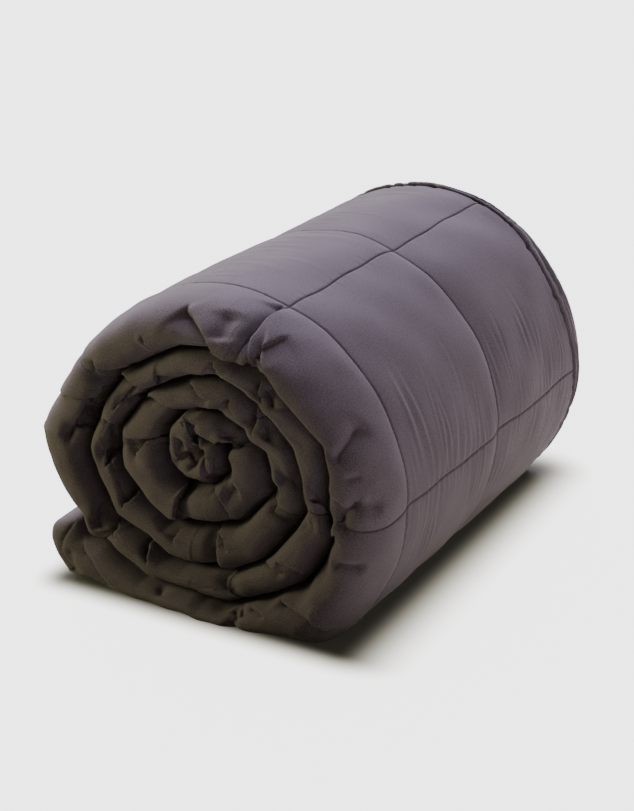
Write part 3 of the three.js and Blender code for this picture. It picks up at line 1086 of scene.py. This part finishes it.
# A crease fades out at its ends, unless the end lies at the edge of the fold.
def endFade(share, pathY, length):
    fade = np.ones(share.shape)
    fading = min(creaseShape["fade"] / length, 0.45)
    low, high = creaseShape["noFade"]
    if not low < abs(pathY[0]) < high:
        fade *= smooth(0, fading, share)
    if not low < abs(pathY[-1]) < high:
        fade *= smooth(1, 1 - fading, share)
    return fade


def addCrease(relief, grid, facesOut, crease):
    kind, depth, low, high, path = crease
    path = np.array(path, float)
    depth = depth * creaseShape["depth"]
    low = low * creaseShape["spread"]
    high = high * creaseShape["spread"]
    radius = np.interp(path[:, 0].mean(), fineAngles, foldRadii) - creaseShape["radiusInside"]
    pathX = np.radians(path[:, 0]) * radius
    pathY = path[:, 1]
    reach = creaseShape["reach"] * max(low, high)
    along = np.radians(grid["angles"]) * radius
    rows = np.nonzero((along > pathX.min() - reach) & (along < pathX.max() + reach))[0]
    if len(rows) == 0:
        return
    block = slice(rows[0], rows[-1] + 1)
    placeY = grid["across"][block].copy()
    placeY[:, ~facesOut] = 1e5
    placeX = np.repeat(along[block][:, None], placeY.shape[1], axis=1)
    if kind == "hollow":
        away = np.hypot(placeX - pathX[0], placeY - pathY[0]) / low / creaseShape["hollowSpread"]
        relief["height"][block] -= creaseShape["hollowDepth"] * depth * np.exp(-away**2)
        return
    signed, share, sideX, sideY, length = nearestOnPath(pathX, pathY, placeX, placeY)
    fade = endFade(share, pathY, length)
    rise, shift = creaseProfile(kind, depth, low, high, signed)
    relief["height"][block] += rise * fade
    relief["along"][block] -= shift * fade * sideX
    relief["across"][block] -= shift * fade * sideY


def addRelief(grid):
    points = grid["points"]
    y = points[:, :, 1] - seamY
    height = seamRelief(grid, y) + wrinkleRelief(grid, y) + fillingRelief(grid, y) + hemRelief(grid)
    height = np.minimum(height, creaseShape["highest"])
    height *= np.array([kind == "flank" or (kind == "fold" and place > 0) or (kind == "hem" and share < 0.2)
                        for kind, place, share in grid["columns"]])
    relief = {"height": height, "along": np.zeros(y.shape), "across": np.zeros(y.shape)}
    facesOut = np.array([kind in ("fold", "flank") for kind, _, _ in grid["columns"]])
    for crease in creases + [looseEndCrease]:
        addCrease(relief, grid, facesOut, crease)
    along, sideways, outwards = skinDirections(points)
    height = relief["height"]
    limit = np.where(height < 0, creaseShape["deepest"], creaseShape["highest"])
    height = limit * np.tanh(height / limit)
    points += (outwards * height[:, :, None] + along * relief["along"][:, :, None]
               + sideways * relief["across"][:, :, None])
    points[:, :, 2] = np.maximum(points[:, :, 2], rollShape["floorGap"])


def newPiece(name, vertices, faces):
    mesh = bpy.data.meshes.new(name)
    corners = [tuple(int(number) for number in face) for face in faces]
    mesh.from_pydata([tuple(vertex) for vertex in vertices], [], corners)
    mesh.update()
    piece = bpy.data.objects.new(name, mesh)
    bpy.context.scene.collection.objects.link(piece)
    return piece


def shadeSmooth(piece):
    piece.data.polygons.foreach_set("use_smooth", [True] * len(piece.data.polygons))


# The cloth's own coordinates in metres, so that the weave follows it round every fold.
def addClothMap(piece, cloth, firstColumn, wrap):
    layer = piece.data.uv_layers.new(name="clothMap")
    count = len(piece.data.loops)
    corners = np.zeros(count, int)
    piece.data.loops.foreach_get("vertex_index", corners)
    flat = cloth[corners].copy()
    isFirst = np.zeros(len(cloth), bool)
    isFirst[firstColumn] = True
    for polygon in piece.data.polygons:
        loops = slice(polygon.loop_start, polygon.loop_start + polygon.loop_total)
        if flat[loops, 1].max() > sectionShape["flankEnd"] and isFirst[corners[loops]].any():
            flat[loops, 1] = np.where(isFirst[corners[loops]], wrap, flat[loops, 1])
    layer.data.foreach_set("uv", (flat * mm).ravel())


cottonFinish = {
    "colour": (0.056, 0.0415, 0.063, 1),
    "thread": 0.00055,
    "weaveShare": 0.5,
    "weaveDepth": 0.00012,
    "unevenness": 0.62,
    "slubScale": 950,
    "slubShare": 3.2,
    "slubDetail": 3,
    "cloudScale": 24,
    "cloudShare": 0.8,
    "cloudDetail": 4,
    "roughness": 0.88,
    "sheen": 0.08,
    "sheenRoughness": 0.5,
    "sheenTint": (0.80, 0.74, 1.0, 1),
    "gloss": 0.25,
}


def noise(tree, place, scale, detail):
    inputs = {"Vector": place, "Scale": scale, "Detail": detail}
    return addNode(tree, "ShaderNodeTexNoise", (), inputs).outputs["Fac"]


# Plain weave: warp and weft cross every thread, with slubs and uneven shade.
def weaveGroup():
    group = bpy.data.node_groups.new("cottonWeave", "ShaderNodeTree")
    sockets = [("INPUT", "Map", "Vector"), ("INPUT", "Thread", "Float"), ("INPUT", "Colour", "Color"),
               ("INPUT", "Unevenness", "Float"), ("OUTPUT", "Height", "Float"),
               ("OUTPUT", "Colour", "Color")]
    for side, label, kind in sockets:
        group.interface.new_socket(label, in_out=side, socket_type="NodeSocket" + kind)
    given = addNode(group, "NodeGroupInput").outputs
    split = addNode(group, "ShaderNodeSeparateXYZ", (), {0: given["Map"]})
    turns = mathNode(group, "DIVIDE", math.pi, given["Thread"])
    warp = mathNode(group, "SINE", mathNode(group, "MULTIPLY", split.outputs[0], turns))
    weft = mathNode(group, "SINE", mathNode(group, "MULTIPLY", split.outputs[1], turns))
    crossing = mathNode(group, "MULTIPLY", warp, weft)
    crossing = mathNode(group, "MULTIPLY", crossing, cottonFinish["weaveShare"])
    slub = noise(group, given["Map"], cottonFinish["slubScale"], cottonFinish["slubDetail"])
    cloud = noise(group, given["Map"], cottonFinish["cloudScale"], cottonFinish["cloudDetail"])
    both = mathNode(group, "ADD", mathNode(group, "MULTIPLY", cloud, cottonFinish["cloudShare"]),
                    mathNode(group, "MULTIPLY", slub, cottonFinish["slubShare"]))
    average = (cottonFinish["cloudShare"] + cottonFinish["slubShare"]) / 2
    drift = mathNode(group, "MULTIPLY", mathNode(group, "SUBTRACT", both, average), given["Unevenness"])
    shaded = addNode(group, "ShaderNodeVectorMath", {"operation": "SCALE"},
                     {0: given["Colour"], "Scale": mathNode(group, "ADD", drift, 1.0)})
    height = mathNode(group, "ADD", crossing, slub)
    addNode(group, "NodeGroupOutput", (), {"Height": height, "Colour": shaded.outputs[0]})
    return group


def newMaterial(name):
    material = bpy.data.materials.new(name)
    material.use_nodes = True
    return material, material.node_tree, material.node_tree.nodes["Principled BSDF"]


def cottonMaterial(weave):
    cloth, tree, shader = newMaterial("cottonCover")
    shader.inputs["Roughness"].default_value = cottonFinish["roughness"]
    shader.inputs["Sheen Weight"].default_value = cottonFinish["sheen"]
    shader.inputs["Sheen Roughness"].default_value = cottonFinish["sheenRoughness"]
    shader.inputs["Sheen Tint"].default_value = cottonFinish["sheenTint"]
    shader.inputs["Specular IOR Level"].default_value = cottonFinish["gloss"]
    clothMap = addNode(tree, "ShaderNodeUVMap", {"uv_map": "clothMap"}).outputs["UV"]
    values = {"Map": clothMap, "Thread": cottonFinish["thread"], "Colour": cottonFinish["colour"],
              "Unevenness": cottonFinish["unevenness"]}
    woven = addNode(tree, "ShaderNodeGroup", {"node_tree": weave}, values)
    tree.links.new(woven.outputs["Colour"], shader.inputs["Base Color"])
    depth = {"Distance": cottonFinish["weaveDepth"], "Strength": 1.0, "Height": woven.outputs["Height"]}
    bump = addNode(tree, "ShaderNodeBump", (), depth)
    tree.links.new(bump.outputs["Normal"], shader.inputs["Normal"])
    return cloth


stitching = {
    "pitch": 3.2,
    "length": 2.8,
    "thickness": 0.75,
    "sunk": 0.05,
    "segments": 6,
    "rings": 5,
    "hemWidth": 13.0,
    "hemPoints": 60,
    "foldFrom": 4,
    "outerTo": 212,
    # the thread's own dark tone, darkened further with painted shade of the sewn groove
    "seamShadeThreadDark": (0.014, 0.0112, 0.014, 1),
    "seamShadeThreadLight": (0.028, 0.0224, 0.028, 1),
    "threadRoughness": 0.7,
    "plyScale": 900,
}


def columnsOf(grid, *kinds):
    return [index for index, (kind, _, _) in enumerate(grid["columns"]) if kind in kinds]


# The point of the cloth at an unwound angle and a distance across the fold.
def clothPoint(grid, lying, angle, across):
    columns = columnsOf(grid, "fold", "flank")
    spot = np.interp(angle, grid["angles"], np.arange(len(grid["angles"])))
    row = min(int(spot), len(grid["angles"]) - 2)
    ends = np.array([[np.interp(across, grid["across"][each, columns], lying[each, columns, axis])
                      for axis in range(3)] for each in (row, row + 1)])
    return ends[0] + (spot - row) * (ends[1] - ends[0])


# The hem's line: slanting over the fold as given, then straight along the flank.
def hemPath(grid, lying):
    station = int(np.searchsorted(alongCloth(grid)[:, 0], stitching["hemWidth"]))
    hem = np.array(looseEndHem, float)
    corners = np.arange(len(hem))
    line = []
    for share in np.linspace(0, len(hem) - 1, stitching["hemPoints"]):
        angle, distance = (np.interp(share, corners, hem[:, axis]) for axis in (0, 1))
        line.append(clothPoint(grid, lying, angle, distance))
    across = grid["across"][station]
    beyond = [index for index in columnsOf(grid, "flank") if across[index] > hem[-1, 1] + 1]
    return np.concatenate([line, lying[station, beyond]])


# Points along each sewn line, lying on the cloth: a list of paths.
def seamPaths(grid):
    angles = grid["angles"]
    normals = skinDirections(grid["points"])[2]
    lying = grid["points"] - normals * stitching["sunk"]
    outer = angles < stitching["outerTo"]
    flank = columnsOf(grid, "flank")
    first = stitching["foldFrom"]
    fold = columnsOf(grid, "fold")[first:]
    paths = []
    for ring in seamLines["rings"]:
        column = min(flank, key=lambda index: abs(grid["columns"][index][1] - ring))
        paths.append(lying[outer, column])
    for bearing in seamLines["axial"]:
        paths.append(lying[int(np.abs(angles - bearing).argmin()), fold + flank])
    for bearing in seamLines["foldCrossings"]:
        paths.append(lying[int(np.abs(angles - bearing).argmin()), fold[:-first]])
    paths.append(hemPath(grid, lying))
    return paths


# The paths as edges only, for the stitches to follow.
def pathMesh(paths):
    points = []
    edges = []
    for path in paths:
        first = len(points)
        points += [tuple(point * mm) for point in path]
        edges += [(first + step, first + step + 1) for step in range(len(path) - 1)]
    mesh = bpy.data.meshes.new("seamPaths")
    mesh.from_pydata(points, edges, [])
    return mesh


# One rounded stitch every pitch along the paths.
def stitchTree():
    tree = bpy.data.node_groups.new("runningStitch", "GeometryNodeTree")
    tree.interface.new_socket("Paths", in_out="INPUT", socket_type="NodeSocketGeometry")
    for label in ("Pitch", "Length", "Thickness"):
        socket = tree.interface.new_socket(label, in_out="INPUT", socket_type="NodeSocketFloat")
        socket.default_value = stitching[label.lower()] * mm
    tree.interface.new_socket("Thread", in_out="INPUT", socket_type="NodeSocketMaterial")
    tree.interface.new_socket("Stitches", in_out="OUTPUT", socket_type="NodeSocketGeometry")
    given = addNode(tree, "NodeGroupInput").outputs
    curve = addNode(tree, "GeometryNodeMeshToCurve", (), {"Mesh": given["Paths"]}).outputs["Curve"]
    places = addNode(tree, "GeometryNodeCurveToPoints", {"mode": "LENGTH"},
                     {"Curve": curve, "Length": given["Pitch"]}).outputs
    stitch = addNode(tree, "GeometryNodeMeshUVSphere", (),
                     {"Segments": stitching["segments"], "Rings": stitching["rings"], "Radius": 0.5})
    size = addNode(tree, "ShaderNodeCombineXYZ", (),
                   {"X": given["Thickness"], "Y": given["Thickness"], "Z": given["Length"]})
    sown = addNode(tree, "GeometryNodeInstanceOnPoints", (),
                   {"Points": places["Points"], "Rotation": places["Rotation"],
                    "Instance": stitch.outputs["Mesh"], "Scale": size.outputs[0]})
    real = addNode(tree, "GeometryNodeRealizeInstances", (), {"Geometry": sown.outputs["Instances"]})
    finish = addNode(tree, "GeometryNodeSetMaterial", (),
                     {"Geometry": real.outputs["Geometry"], "Material": given["Thread"]})
    addNode(tree, "NodeGroupOutput", (), {"Stitches": finish.outputs["Geometry"]})
    return tree


# The thread: its own dark colour with painted seam shade in it, speckled by ply noise.
def threadMaterial():
    thread, tree, shader = newMaterial("threadPaintedWithSeamShade")
    shader.inputs["Roughness"].default_value = stitching["threadRoughness"]
    place = addNode(tree, "ShaderNodeTexCoord").outputs["Object"]
    ply = addNode(tree, "ShaderNodeTexNoise", (), {"Vector": place, "Scale": stitching["plyScale"]})
    tint = colourMix(tree, ply.outputs["Fac"], stitching["seamShadeThreadDark"], stitching["seamShadeThreadLight"])
    tree.links.new(tint, shader.inputs["Base Color"])
    return thread


def addStitches(grid):
    source = bpy.data.objects.new("seamPaths", pathMesh(seamPaths(grid)))
    bpy.context.scene.collection.objects.link(source)
    thread = threadMaterial()
    tree = stitchTree()
    modifier = source.modifiers.new("stitches", "NODES")
    modifier.node_group = tree
    for item in tree.interface.items_tree:
        if item.in_out == "INPUT" and item.name == "Thread":
            modifier[item.identifier] = thread
    evaluated = source.evaluated_get(bpy.context.evaluated_depsgraph_get())
    mesh = bpy.data.meshes.new_from_object(evaluated)
    mesh.name = "seamStitches"
    stitches = bpy.data.objects.new("seamStitches", mesh)
    bpy.context.scene.collection.objects.link(stitches)
    bpy.data.objects.remove(source)
    shadeSmooth(stitches)
    return stitches


addCamera()
addStudio()
print("stage ready")

grid = clothGrid()
addRelief(grid)
vertices, faces, clothPlaces, firstColumn, wrap = stripMesh(grid)
blanket = newPiece("rolledBlanket", vertices, faces)
shadeSmooth(blanket)
addClothMap(blanket, clothPlaces, np.unique(firstColumn), wrap)
print("strip", len(vertices), "points", len(faces), "faces")

weave = weaveGroup()
blanket.data.materials.append(cottonMaterial(weave))

stitches = addStitches(grid)
print("stitches", len(stitches.data.polygons), "faces")

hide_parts("rolled_blanket")
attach(blanket, "root")
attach(stitches, "root")
